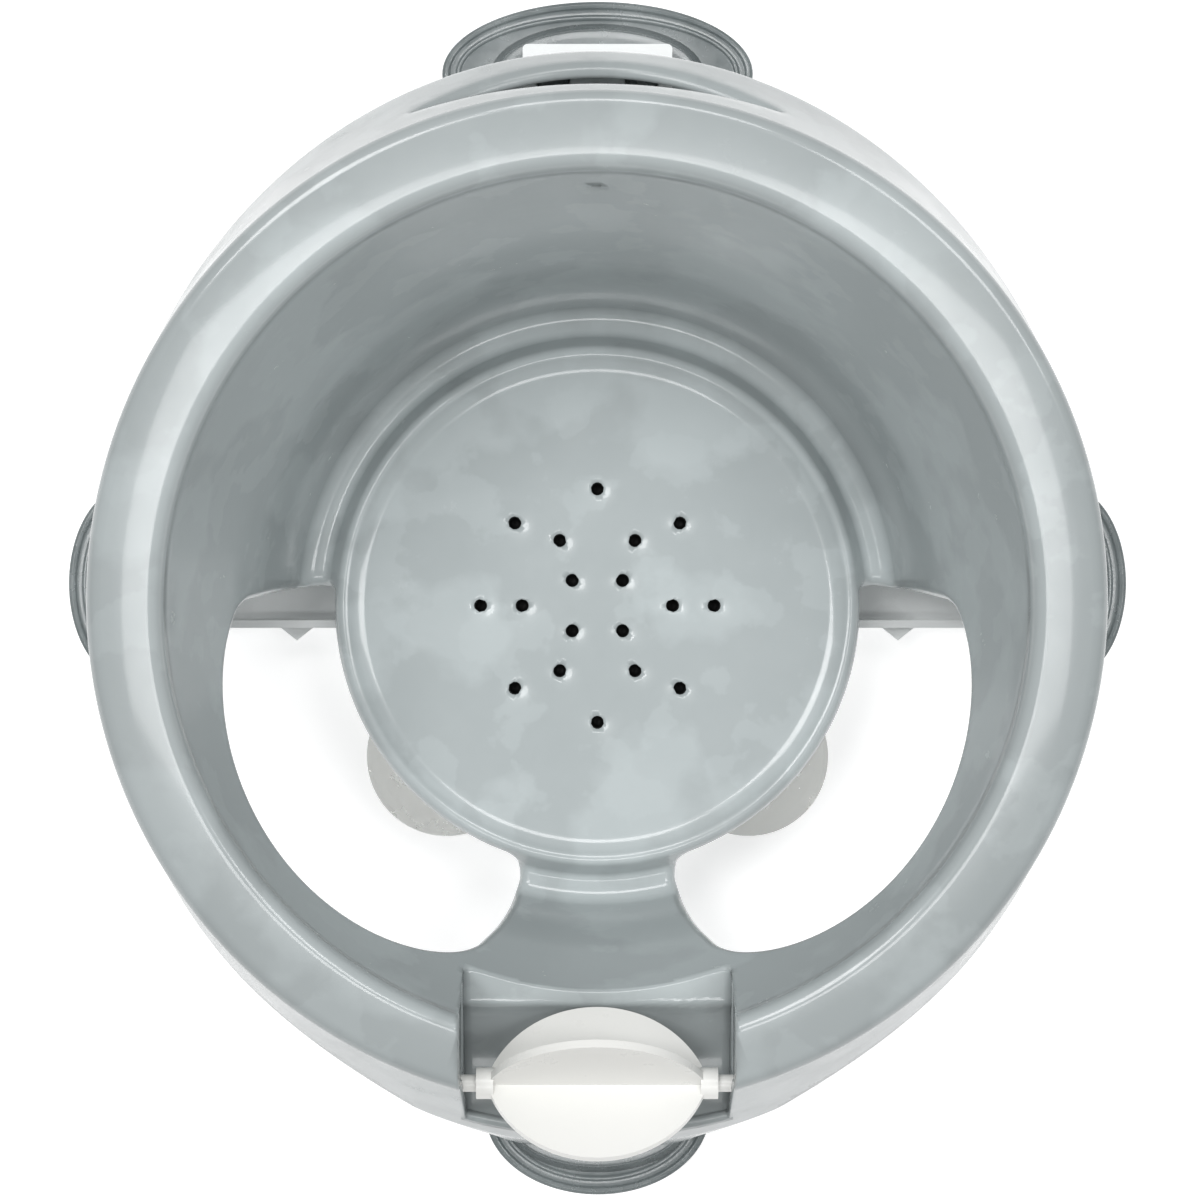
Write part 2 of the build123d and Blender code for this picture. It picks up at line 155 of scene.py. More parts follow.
# Under the seat. A dome is the half-lengths of an oval cup's inner oval.
STUD_RISE = 6.6  # from the top of a cup's dome to the top of its stud
STUD_NECK_RISE = 3.0
STUD_NECK_R = 3.95
STUD_HEAD_R = 5.2
BAND_LAP = 0.8  # how far outside the dome's oval the flange's inner edge lies
SIDE_DOME = (10.8, 24.0)
FRONT_DOME = (29.6, 17.2)
REAR_DOME = (32.0, 14.0)
REAR_STUDS = ((-14.0, -3.5), (14.0, -3.5))
SCREW_HEAD_R = 3.4
BOSS_BORE_R = 1.8
BOSS_R = 4.6
BOSS_DROP = 4.0  # the bosses' tops lie this far under the pan's top, inside its wall
PLATE_TOP = 17.0

# Studio
CAMERA_PLACE = (0.0008, -0.0006, 1.0)
CAMERA_LENS = 93.96
FLOOR_HALF = 6.0
FLOOR_DROP = 0.0002


# ---------------------------------------------------------------- small helpers


def round_corner(before, corner, after, radius, steps):
    """Points of the arc that rounds a corner, for whole arrays of corners at once."""
    into = before - corner
    out = after - corner
    into_len = np.linalg.norm(into, axis=-1, keepdims=True)
    out_len = np.linalg.norm(out, axis=-1, keepdims=True)
    into = into / into_len
    out = out / out_len
    half = np.arccos(np.clip((into * out).sum(-1, keepdims=True), -1, 1)) / 2
    reach = np.minimum(radius / np.tan(half), 0.499 * np.minimum(into_len, out_len))
    radius = reach * np.tan(half)
    bisector = into + out
    bisector = bisector / np.linalg.norm(bisector, axis=-1, keepdims=True)
    centre = corner + bisector * radius / np.sin(half)
    start = corner + into * reach
    side = start - centre
    sweep = math.pi - 2 * half
    turn = np.sign(into[..., :1] * out[..., 1:] - into[..., 1:] * out[..., :1])
    arc = []
    for step in range(steps + 1):
        angle = -turn * sweep * step / steps
        c, s = np.cos(angle), np.sin(angle)
        x = side[..., :1] * c - side[..., 1:] * s
        y = side[..., :1] * s + side[..., 1:] * c
        arc.append(centre + np.concatenate([x, y], axis=-1))
    return arc


def rounded_section(corners, radii, arc_steps, run_steps):
    """A section through corners, rounded at each inner one, with steps along each straight run."""
    rows = [corners[0]]
    for i in range(1, len(corners)):
        end = corners[i]
        arc = []
        if i < len(corners) - 1:
            arc = round_corner(corners[i - 1], corners[i], corners[i + 1], radii[i - 1], arc_steps)
            end = arc[0]
        start = rows[-1]
        steps = run_steps[i - 1]
        rows += [start + (end - start) * k / steps for k in range(1, steps + 1)]
        rows += arc[1:]
    return np.array(rows)


def seat_angles():
    """Angles round the seat, closer together at the pocket's two sides."""
    fine = np.linspace(0, 2 * math.pi, 4001)
    side = math.atan2(WHEEL_Y, POCKET_HALF_W) % (2 * math.pi)
    density = np.ones(len(fine))
    for place in (side, 3 * math.pi - side):
        density += CROWDING * np.exp(-(((fine - place) / CROWD_ANGLE) ** 2))
    total = np.concatenate([[0], np.cumsum((density[1:] + density[:-1]) / 2)])
    return np.interp(np.arange(AROUND) * total[-1] / AROUND, total, fine)


def oval_radius(angle, a, b, centre_y):
    """Distance from the pan's centre to an oval whose own centre is at (0, centre_y)."""
    c, s = np.cos(angle), np.sin(angle)
    qa = (c / a) ** 2 + (s / b) ** 2
    qb = -2 * s * centre_y / b**2
    qc = (centre_y / b) ** 2 - 1
    return (-qb + np.sqrt(qb**2 - 4 * qa * qc)) / (2 * qa)


def ring_height(y):
    """Height of the ring's widest section at a place along Y."""
    return RING_Z + RING_SLOPE * (y - RING_Y)


def round_and(first, second, radius):
    """Where two regions overlap, with a rounded corner. Values are positive inside, like a depth."""
    a, b = -first, -second
    flat = np.minimum(-radius, np.maximum(a, b))
    return -(flat + np.hypot(np.maximum(radius + a, 0), np.maximum(radius + b, 0)))


# ---------------------------------------------------------------- the shell's sheet


def shell_sections():
    """The section at each angle: an array of rows by angles by (radius, height)."""
    angle = seat_angles()
    up = np.sin(angle)
    inner = oval_radius(angle, RING_INNER_R, RING_INNER_R, RING_Y)
    outer = oval_radius(angle, RING_OUTER_R, RING_OUTER_R, RING_Y)
    shoulder = oval_radius(angle, SHOULDER_A, SHOULDER_B, SHOULDER_Y)
    foot = oval_radius(angle, FOOT_A, FOOT_B, 0.0)

    def corner(radius, height):
        return np.stack(np.broadcast_arrays(radius + 0 * angle, height + 0 * angle), axis=-1)

    inner_z = ring_height(inner * up)
    outer_z = ring_height(outer * up)
    shoulder_z = ring_height(shoulder * up) - SHOULDER_DROP
    corners = [
        corner(PAN_CENTRE_R, PAN_Z),
        corner(PAN_FLAT_R, PAN_Z),
        corner(PAN_LIP_R, PAN_LIP_Z),
        corner(PAN_SIDE_R, VALLEY_Z),
        corner(VALLEY_R, VALLEY_Z),
        corner(inner, inner_z),
        corner(inner, inner_z + RING_RISE),
        corner(outer, outer_z + RING_RISE),
        corner(outer, outer_z),
        corner(shoulder, shoulder_z),
        corner(foot, FOOT_Z),
    ]
    radii = (9.0, 3.2, 3.0, 5.0, 30.0, RING_ROUND, RING_ROUND, 12.0, 14.0)
    run_steps = (48, 2, 4, 3, 52, 1, 1, 1, 12, 40)
    return rounded_section(corners, radii, ARC_STEPS, run_steps)


def dish_drop(radius):
    """How far the pan's dished top lies under its rim, at a distance from its centre."""
    inside = np.clip(1 - (radius / PAN_FLAT_R) ** 2, 0, 1)
    return PAN_DISH * inside**DISH_POWER


def shell_grid():
    """The sheet's points: rows by angles by (x, y, z), with the pan slightly dished."""
    section = shell_sections()
    angle = seat_angles()
    radius, height = section[..., 0], section[..., 1]
    x = radius * np.cos(angle)
    y = radius * np.sin(angle)
    z = height - dish_drop(radius)
    flat = np.stack([x, y], axis=-1)
    dimple = np.exp(-(((DRAIN_R - drain_depth(flat)) / DIMPLE_R) ** 2))
    return np.stack([x, y, z - DIMPLE_DEPTH * dimple], axis=-1)


# ---------------------------------------------------------------- openings, positive inside


def arch_depth(p, arch, fall=0.0, from_r=0.0):
    """Depth inside a round-topped arch that points outwards in plan."""
    aim, half_width, top, rounding = arch
    c, s = math.cos(math.radians(aim)), math.sin(math.radians(aim))
    x = np.abs(p[..., 0]) * (1 if c > 0 else -1)
    across = -x * s + p[..., 1] * c
    out = x * c + p[..., 1] * s
    roof = top - fall * (out - from_r) - p[..., 2]
    return round_and(half_width - np.abs(across), roof, rounding)


def leg_depth(p):
    """Depth inside the leg openings, in the bowl wall and the pan's surround."""
    radius = np.hypot(p[..., 0], p[..., 1])
    arch = arch_depth(p, LEG_ARCH, LEG_FALL, LEG_FROM_R)
    plan = round_and(arch, LEG_REAR_Y - p[..., 1], LEG_CORNER_R)
    plan = round_and(plan, np.abs(p[..., 0]) - POST_HALF_W, LEG_PAN_CORNER_R)
    depth = round_and(plan, radius - LEG_PAN_R, LEG_PAN_CORNER_R)
    return np.minimum(depth, WALLS_SPLIT_R - radius)


def skirt_depth(p):
    """Depth inside the four arches between the skirt's legs."""
    radius = np.hypot(p[..., 0], p[..., 1])
    side = np.abs(p[..., 0]) - SKIRT_POST_HALF_W
    front = round_and(side, SIDE_POST_FRONT_Y - p[..., 1], ARCH_CORNER_R)
    front = round_and(front, arch_depth(p, FRONT_ARCH), ARCH_CORNER_R)
    rear = round_and(side, p[..., 1] - SIDE_POST_REAR_Y, ARCH_CORNER_R)
    rear = round_and(rear, arch_depth(p, REAR_ARCH), ARCH_CORNER_R)
    return np.minimum(np.maximum(front, rear), radius - WALLS_SPLIT_R)


def hand_depth(p):
    """Depth inside the lens-shaped hand hole in the back of the apron."""
    sweep = (HAND_HALF_W**2 + HAND_DEPTH**2 / 4) / HAND_DEPTH
    offset = sweep - HAND_DEPTH / 2
    up = np.abs(p[..., 2] - (HAND_TOP_Z - HAND_DEPTH / 2))
    lens = sweep - np.hypot(p[..., 0], up + offset)
    return np.minimum(lens, p[..., 1] - WALLS_SPLIT_R)


def hang_depth(p):
    """Depth inside the hanging slot in the back of the bowl wall."""
    across = HANG_W / 2 - np.abs(p[..., 0])
    up = HANG_H / 2 - np.abs(p[..., 2] - HANG_Z)
    slot = round_and(across, up, HANG_CORNER_R)
    return np.minimum(slot, np.minimum(p[..., 1] - HANG_FROM_Y, WALLS_SPLIT_R - p[..., 1]))


def drain_centres():
    """The drain holes' places in plan."""
    return [
        (ring_r * math.cos(math.radians(turn)), ring_r * math.sin(math.radians(turn)))
        for ring_r, count, first in DRAIN_RINGS
        for turn in (first + 360 / count * i for i in range(count))
    ]


def drain_depth(p):
    """Depth inside the nearest drain hole."""
    nearest = np.full(p.shape[:-1], 1e3)
    for x, y in drain_centres():
        nearest = np.minimum(nearest, np.hypot(p[..., 0] - x, p[..., 1] - y))
    return DRAIN_R - nearest


def pocket_depth(p):
    """Depth inside the wheel's pocket."""
    y = p[..., 1] - WHEEL_Y
    z = p[..., 2] - WHEEL_Z
    sweep = POCKET_R - np.hypot(y, z)
    above = np.minimum(z, POCKET_R - np.abs(y))
    entry = np.minimum(np.minimum(p[..., 2] - POCKET_EDGE_Z, y), POCKET_ENTRY - y)
    across = POCKET_HALF_W - np.abs(p[..., 0])
    return np.minimum(across, np.maximum(np.maximum(sweep, above), entry))


# ---------------------------------------------------------------- cutting and turning edges


def snap_to_edge(points, links, depth_of):
    """Moves the points nearest an opening's edge onto it. Returns points and their signs."""
    depth = depth_of(points)
    first, second = links[:, 0], links[:, 1]
    crossing = depth[first] * depth[second] < 0
    first, second = first[crossing], second[crossing]
    low, high = np.zeros(len(first)), np.ones(len(first))
    start, span = points[first], points[second] - points[first]
    start_sign = np.sign(depth[first])
    for _ in range(24):
        middle = (low + high) / 2
        same = np.sign(depth_of(start + span * middle[:, None])) == start_sign
        low = np.where(same, middle, low)
        high = np.where(same, high, middle)
    root = start + span * low[:, None]
    moved = points.copy()
    best = np.full(len(points), 2.0)
    sign = np.sign(depth)
    for i in range(len(first)):
        near = first[i] if low[i] <= 0.5 else second[i]
        share = min(low[i], 1 - low[i])
        if share < best[near]:
            best[near] = share
            moved[near] = root[i]
            sign[near] = 0
    return moved, sign


def cut(points, faces, depth_of):
    """Removes the part of a mesh inside an opening, with points on the opening's edge."""
    links = np.array(sorted({tuple(sorted(pair)) for f in faces for pair in zip(f, f[1:] + f[:1])}))
    moved, sign = snap_to_edge(points, links, depth_of)
    kept = []
    for face in faces:
        signs = [sign[v] for v in face]
        if max(signs) <= 0:
            if min(signs) < 0 or depth_of(np.mean([moved[v] for v in face], axis=0)) < 0:
                kept.append(face)
        elif min(signs) < 0 and len(face) == 4:
            apex = signs.index(-1)
            kept.append([face[apex - 1], face[apex], face[(apex + 1) % 4]])
    return moved, kept


def edge_loops(faces):
    """The open edges of a mesh, in the faces' own direction, as a map from point to next point."""
    ways = {(a, b) for f in faces for a, b in zip(f, f[1:] + f[:1])}
    return {a: b for a, b in ways if (b, a) not in ways}


def smooth_round(values, times):
    """Averages each value with its neighbours round a closed loop."""
    for _ in range(times):
        values = (np.roll(values, 1, axis=0) + 2 * values + np.roll(values, -1, axis=0)) / 4
    return values


def loops_of(next_point):
    """Splits a map of next points into closed loops."""
    left = dict(next_point)
    loops = []
    while left:
        start = next(iter(left))
        loop = [start]
        follow = left.pop(start)
        while follow in left and follow != start:
            loop.append(follow)
            follow = left.pop(follow)
        if follow == start and len(loop) > 5:
            loops.append(loop)
    return loops


def point_normals(points, faces):
    """Normals at the points of a mesh."""
    normals = np.zeros_like(points)
    for face in faces:
        a, b, c = points[face[0]], points[face[1]], points[face[-1]]
        n = np.cross(b - a, c - a)
        for v in face:
            normals[v] += n
    length = np.linalg.norm(normals, axis=1, keepdims=True)
    return normals / np.maximum(length, 1e-12)


def turn_edges(points, faces, depth_of, radius, lip):
    """Rolls the edge of an opening over towards the back of the sheet, then adds a straight lip."""
    normals = point_normals(points, faces)
    points = list(points)
    for loop in loops_of(edge_loops(faces)):
        at = np.array([points[v] for v in loop])
        if np.abs(depth_of(at) + radius).max() > 0.2:
            continue
        normal = smooth_round(normals[loop], 3)
        along = np.roll(at, -1, axis=0) - np.roll(at, 1, axis=0)
        outward = smooth_round(np.cross(along, normal), 6)
        outward /= np.linalg.norm(outward, axis=1, keepdims=True)
        normal = np.cross(outward, smooth_round(along, 2))
        normal /= np.linalg.norm(normal, axis=1, keepdims=True)
        normal *= np.sign((normal * normals[loop]).sum(1, keepdims=True))
        rings = []
        for turn in (22.5, 45.0, 67.5, 90.0):
            c, s = math.cos(math.radians(turn)), math.sin(math.radians(turn))
            rings.append(at + outward * radius * s - normal * radius * (1 - c))
        rings.append(rings[-1] - normal * lip)
        before = loop
        for ring in rings:
            new = list(range(len(points), len(points) + len(loop)))
            points += list(ring)
            for i in range(len(loop)):
                j = (i + 1) % len(loop)
                faces.append([before[j], before[i], new[i], new[j]])
            before = new
    return np.array(points), faces


def shell_sheet():
    """The shell's whole sheet as points and faces, with every opening cut and its edges turned."""
    grid = shell_grid()
    rows = len(grid)
    points = grid.reshape(-1, 3)
    centre = len(points)
    points = np.vstack([points, [[0, 0, PAN_Z - PAN_DISH]]])
    faces = []
    for k in range(AROUND):
        n = (k + 1) % AROUND
        faces.append([centre, k, n])
        for row in range(rows - 1):
            here = row * AROUND
            above = here + AROUND
            faces.append([here + k, above + k, above + n, here + n])
    for depth_of, radius, lip in (
        (drain_depth, 0.0, 0.0),
        (hang_depth, 0.0, 0.0),
        (pocket_depth, 0.0, 0.0),
        (leg_depth, EDGE_ROLL, LEG_LIP),
        (skirt_depth, EDGE_ROLL, SKIRT_LIP),
        (hand_depth, EDGE_ROLL, SKIRT_LIP),
    ):
        points, faces = cut(points, faces, lambda p: depth_of(p) + radius)
        if radius:
            points, faces = turn_edges(points, faces, depth_of, radius, lip)
    return points, faces


# ---------------------------------------------------------------- Blender objects


def make_object(name, points, faces, material, body="seat"):
    """A smooth-shaded mesh object in the frame, from points in millimetres about the pan's centre."""
    mesh = bpy.data.meshes.new(name)
    mesh.from_pydata([Vector(p) * MM + SEAT for p in points], [], faces)
    mesh.materials.append(material)
    work = bmesh.new()
    work.from_mesh(mesh)
    loose = [v for v in work.verts if not v.link_faces]
    bmesh.ops.delete(work, geom=loose, context="VERTS")
    work.to_mesh(mesh)
    work.free()
    mesh.shade_smooth()
    made = bpy.data.objects.new(name, mesh)
    bpy.context.scene.collection.objects.link(made)
    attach(made, body)
    return made


def thicken(made, thickness):
    """Gives a sheet its wall thickness, towards its back."""
    solid = made.modifiers.new("wall", "SOLIDIFY")
    solid.thickness = thickness * MM
    solid.offset = -1
    solid.use_even_offset = False


def soften(made, width, angle=35):
    """Rounds the sharp edges of a piece."""
    bevel = made.modifiers.new("soft_edges", "BEVEL")
    bevel.width = width * MM
    bevel.segments = 2
    bevel.limit_method = "ANGLE"
    bevel.angle_limit = math.radians(angle)
    bevel.harden_normals = True
    bevel.use_clamp_overlap = True


def lathe(profile, steps=96, oval=(0.0, 0.0), at=(0.0, 0.0)):
    """A turned form, closed at both ends. With oval set, the profile's radii are added to its half-axes."""
    points = []
    for turn in range(steps):
        c, s = math.cos(2 * math.pi * turn / steps), math.sin(2 * math.pi * turn / steps)
        for radius, height in profile:
            points.append((at[0] + (oval[0] + radius) * c, at[1] + (oval[1] + radius) * s, height))
    count = len(profile)
    low, high = len(points), len(points) + 1
    points += [(at[0], at[1], profile[0][1]), (at[0], at[1], profile[-1][1])]
    faces = []
    for turn in range(steps):
        here, there = turn * count, (turn + 1) % steps * count
        faces += [[here + k, there + k, there + k + 1, here + k + 1] for k in range(count - 1)]
        faces.append([low, there, here])
        faces.append([high, here + count - 1, there + count - 1])
    return points, faces


def rounded_profile(corners, radius, steps=4):
    """A profile through corners, each inner one rounded with the same radius."""
    corners = [np.array([c], dtype=float) for c in corners]
    points = [corners[0]]
    for before, corner, after in zip(corners, corners[1:], corners[2:]):
        points += round_corner(before, corner, after, radius, steps)
    points.append(corners[-1])
    return [tuple(p[0]) for p in points]


def join_forms(*forms):
    """Several forms' points and faces as one."""
    points, faces = [], []
    for form_points, form_faces in forms:
        start = len(points)
        points += [tuple(p) for p in form_points]
        faces += [[start + v for v in face] for face in form_faces]
    return points, faces


# ---------------------------------------------------------------- materials


class Graph:
    """A short way to build a material's nodes."""

    def __init__(self, name):
        self.material = bpy.data.materials.new(name)
        self.material.use_nodes = True
        self.tree = self.material.node_tree
        self.shader = self.tree.nodes["Principled BSDF"]

    def node(self, kind, inputs=None, **settings):
        made = self.tree.nodes.new(kind)
        for key, value in settings.items():
            setattr(made, key, value)
        for key, value in (inputs or {}).items():
            self.feed(made.inputs[key], value)
        return made

    def feed(self, socket, value):
        if isinstance(value, bpy.types.NodeSocket):
            self.tree.links.new(value, socket)
        else:
            socket.default_value = value

    def set(self, **values):
        for key, value in values.items():
            self.feed(self.shader.inputs[key.replace("_", " ")], value)

    def place(self):
        return self.node("ShaderNodeTexCoord").outputs["Object"]

    def facing_up(self):
        """How far the surface faces up: 1 on a flat top, 0 on an upright wall."""
        normal = self.node("ShaderNodeTexCoord").outputs["Normal"]
        return self.node("ShaderNodeSeparateXYZ", {"Vector": normal}).outputs["Z"]

    def from_axis(self):
        """Distance in plan from the object's origin, which for the shell is the frame's."""
        inputs = {0: self.place(), 1: (1.0, 1.0, 0.0)}
        flat = self.node("ShaderNodeVectorMath", inputs, operation="MULTIPLY").outputs["Vector"]
        return self.node("ShaderNodeVectorMath", {0: flat}, operation="LENGTH").outputs["Value"]

    def noise(self, scale, detail=3.0, rough=0.5):
        inputs = {"Scale": scale, "Detail": detail, "Roughness": rough, "Vector": self.place()}
        return self.node("ShaderNodeTexNoise", inputs).outputs["Fac"]

    def ramp(self, value, low, high, from_low=0.0, from_high=1.0):
        inputs = {"Value": value, 1: from_low, 2: from_high, 3: low, 4: high}
        return self.node("ShaderNodeMapRange", inputs).outputs["Result"]

    def mix(self, share, first, second):
        made = self.node("ShaderNodeMix", data_type="RGBA")
        self.feed(made.inputs["Factor"], share)
        self.feed(made.inputs["A"], first)
        self.feed(made.inputs["B"], second)
        return made.outputs["Result"]

    def bump(self, height, strength, distance, onto=None):
        inputs = {"Height": height, "Strength": strength, "Distance": distance}
        if onto is not None:
            inputs["Normal"] = onto
        return self.node("ShaderNodeBump", inputs).outputs["Normal"]


def moulded_plastic(name, colour, shade, roughness, gloss=0.5, painted_reflections=0.0, depth=0.0):
    """Moulded plastic: flow marks and pale patches of painted reflection in the colour, faint waviness,
    scuffs in the gloss.

    With depth set, shade is painted into the colour: it is darker on steep walls and towards the outside of
    the seat, where the gloss fades too.
    """
    g = Graph(name)
    flow = g.noise(9.0, 2.0, 0.4)
    fine = g.noise(240.0, 4.0, 0.6)
    scuff = g.noise(60.0, 6.0, 0.7)
    base = g.mix(g.ramp(flow, 0.0, 1.0, 0.35, 0.65), colour, shade)
    if painted_reflections:
        # Painted reflection: pale patches standing in for the room's reflections in the gloss.
        painted_reflection_colour = [min(1.0, part * 1.3) for part in colour[:3]] + [1]
        base = g.mix(g.ramp(g.noise(24.0, 5.0, 0.45), 0.0, painted_reflections, 0.5, 0.56), base, painted_reflection_colour)
        base = g.mix(g.ramp(g.noise(55.0, 4.0, 0.5), 0.0, painted_reflections * 0.6, 0.54, 0.58), base, painted_reflection_colour)
    coat = gloss
    if depth:
        # Painted shade: a darker colour on steep walls and towards the rim, standing in for the shadow
        # inside the bowl and on the apron.
        painted_shade_colour = [part * 0.35 for part in colour[:3]] + [1]
        from_axis = g.from_axis()
        base = g.mix(g.ramp(g.facing_up(), depth, 0.0, 0.25, 0.95), base, painted_shade_colour)
        base = g.mix(g.ramp(from_axis, 0.0, RIM_PAINTED_SHADE, PAINTED_SHADE_R * MM, GLOSS_R * MM), base, painted_shade_colour)
        coat = g.ramp(from_axis, gloss, 0.02, GLOSS_R * MM, DULL_R * MM)
    g.set(Base_Color=base)
    g.set(Roughness=g.ramp(scuff, roughness * 0.8, roughness * 1.5, 0.35, 0.75))
    waves = g.bump(g.noise(22.0, 1.0, 0.3), 0.12, 0.004)
    g.set(Normal=g.bump(fine, 0.05, 0.0004, waves))
    g.set(Coat_Weight=coat, Coat_Roughness=0.06, IOR=1.49, Specular_IOR_Level=0.3)
    return g.material


def soft_vinyl(name, colour, edge, see_through):
    """Translucent soft vinyl for suction cups, paler in random clouds and smudged in its gloss."""
    g = Graph(name)
    cloud = g.noise(45.0, 3.0, 0.55)
    g.set(Base_Color=g.mix(g.ramp(cloud, 0.0, 1.0, 0.3, 0.7), colour, edge))
    g.set(Roughness=g.ramp(g.noise(90.0, 5.0, 0.6), 0.14, 0.34, 0.3, 0.7))
    g.set(Normal=g.bump(g.noise(130.0, 3.0, 0.5), 0.08, 0.0006))
    g.set(Transmission_Weight=see_through, IOR=1.42, Coat_Weight=0.3, Coat_Roughness=0.1)
    return g.material


def plated_steel(name):
    """Plated screws with fine turning marks."""
    g = Graph(name)
    g.set(Base_Color=g.mix(g.noise(400.0), (0.55, 0.56, 0.57, 1), (0.7, 0.71, 0.72, 1)))
    g.set(Metallic=1.0, Roughness=g.ramp(g.noise(900.0), 0.22, 0.42, 0.3, 0.7))
    g.set(Normal=g.bump(g.noise(1200.0), 0.15, 0.0001))
    return g.material


# The shell's grey has painted reflection patches in its colour, and painted shade on its steep walls and
# towards its rim.
SHELL_GREY = moulded_plastic(
    "shell_grey", (0.36, 0.395, 0.4, 1), (0.39, 0.425, 0.43, 1), 0.2, gloss=0.4, painted_reflections=0.5, depth=0.1
)
# Near-black painted shadow for the drain holes' collars and webs, standing in for the dark under the pan.
DRAIN_PAINTED_SHADOW = moulded_plastic("drain_painted_shadow", (0.008, 0.009, 0.009, 1), (0.012, 0.013, 0.013, 1), 0.5, 0.0)
BASE_WHITE = moulded_plastic("base_white", (0.76, 0.78, 0.78, 1), (0.8, 0.82, 0.82, 1), 0.3, 0.2)
TOY_WHITE = moulded_plastic("toy_white", (0.7, 0.7, 0.675, 1), (0.74, 0.74, 0.72, 1), 0.32, 0.15)
SMOKE_VINYL = soft_vinyl("smoke_vinyl", (0.2, 0.23, 0.235, 1), (0.31, 0.345, 0.35, 1), 0.45)
MILKY_VINYL = soft_vinyl("milky_vinyl", (0.9, 0.91, 0.89, 1), (0.95, 0.96, 0.94, 1), 0.55)
STEEL = plated_steel("screw_steel")


# ---------------------------------------------------------------- pieces


def make_shell():
    """The grey shell as one thick sheet."""
    points, faces = shell_sheet()
    shell = make_object("shell", points, faces, SHELL_GREY)
    thicken(shell, WALL)
    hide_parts("seat_pan", "bowl_ring", "skirt")
    return shell


def pocket_section(x):
    """The sheet's height over Y where the pocket's end wall at x crosses it, as two arrays."""
    across, heights = [], []
    for row in shell_grid():
        front = row[row[:, 1] < WHEEL_Y + POCKET_ENTRY]
        front = front[np.argsort(front[:, 0])]
        if len(front) and front[0, 0] < x < front[-1, 0]:
            across.append(-np.interp(x, front[:, 0], front[:, 1]))
            heights.append(np.interp(x, front[:, 0], front[:, 2]))
    return np.array(across), np.array(heights)


def sheet_height(x, y):
    """The sheet's height at places along Y, at a given x."""
    across, heights = pocket_section(x)
    return np.interp(-y, across, heights)


def trough_height(y):
    """Height of the trough under the wheel at a place along Y, with the ledge behind it."""
    trough = WHEEL_Z - np.sqrt(np.clip(POCKET_R**2 - (y - WHEEL_Y) ** 2, 0, None))
    return np.where(y > WHEEL_Y, np.minimum(trough, POCKET_EDGE_Z), trough)


def pocket_ends(x):
    """Where the trough starts on the bowl wall and ends on the apron, along Y, at a given x."""
    y = np.linspace(WHEEL_Y + POCKET_ENTRY / 2, WHEEL_Y - POCKET_R, 600)
    above = sheet_height(x, y) > trough_height(y)
    covered = y[above]
    return covered[0], covered[-1]


def make_pocket():
    """The trough under the wheel, flush with the bowl wall and the apron, and its two end walls."""
    columns = np.linspace(-POCKET_HALF_W - 1, POCKET_HALF_W + 1, 25)
    rows = 48
    points = []
    for x in columns:
        rear, front = pocket_ends(x)
        y = np.linspace(rear, front, rows)
        points += [(x, at, height) for at, height in zip(y, trough_height(y))]
    faces = [
        [c * rows + r, (c + 1) * rows + r, (c + 1) * rows + r + 1, c * rows + r + 1]
        for c in range(len(columns) - 1)
        for r in range(rows - 1)
    ]
    faces = [face[::-1] for face in faces]
    trough = make_object("pocket_trough", points, faces, SHELL_GREY)
    thicken(trough, TROUGH_WALL)

    for side, name in ((-1, "pocket_wall_left"), (1, "pocket_wall_right")):
        make_pocket_wall(side, name)


def make_pocket_wall(side, name):
    """The pocket's end wall on one side, with a round hole for the wheel's pin."""
    x = side * POCKET_HALF_W
    back_x = side * (POCKET_HALF_W + WALL)
    ends = np.array([pocket_ends(x), pocket_ends(back_x)])
    rear, front = ends[:, 0].min(), ends[:, 1].max()
    hole = WHEEL_Y + PIN_HOLE_R * np.sin(np.linspace(-0.5, 0.5, 17) * math.pi)
    y = np.unique(np.concatenate([np.linspace(rear, front, 70), hole]))[::-1]
    top = np.minimum(sheet_height(x, y), sheet_height(back_x, y)) - POCKET_WALL_DROP
    low = np.minimum(trough_height(y) - 1, top - 0.01)
    gap = np.sqrt(np.clip(PIN_HOLE_R**2 - (y - WHEEL_Y) ** 2, 0, None))
    upper = np.clip(WHEEL_Z + gap, low, top)
    lower = np.clip(WHEEL_Z - gap, low, top)
    points = [(x, at, height) for row in (top, upper, lower, low) for at, height in zip(y, row)]
    count = len(y)
    faces = [
        [first + k, first + k + 1, first + count + k + 1, first + count + k]
        for first in (0, 2 * count)
        for k in range(count - 1)
    ]
    if side > 0:
        faces = [face[::-1] for face in faces]
    wall = make_object(name, points, faces, SHELL_GREY)
    thicken(wall, WALL)


def make_drain_collars():
    """The short collars under the pan's drain holes, in near-black painted shadow so that the holes read
    dark.
    """
    forms = []
    for x, y in drain_centres():
        top = PAN_Z - dish_drop(math.hypot(x, y)) - WALL / 2
        bore = DRAIN_R - COLLAR_INSET
        forms.append(sleeve(bore, DRAIN_R + COLLAR_WALL, top - DRAIN_DEPTH, top, (x, y)))
    collars = make_object("drain_collars", *join_forms(*forms), DRAIN_PAINTED_SHADOW)


def sleeve(inner_r, outer_r, low_z, top_z, at, steps=20):
    """A short tube with a thin web under its bore: a dark sheet of painted shadow, so that the hole reads
    dark from above.
    """
    web_z = low_z + COLLAR_WEB
    profile = [(0.4, low_z), (outer_r, low_z), (outer_r, top_z - 0.4), (inner_r, top_z)]
    profile += [(inner_r, web_z), (0.4, web_z)]
    return lathe(profile, steps, at=at)


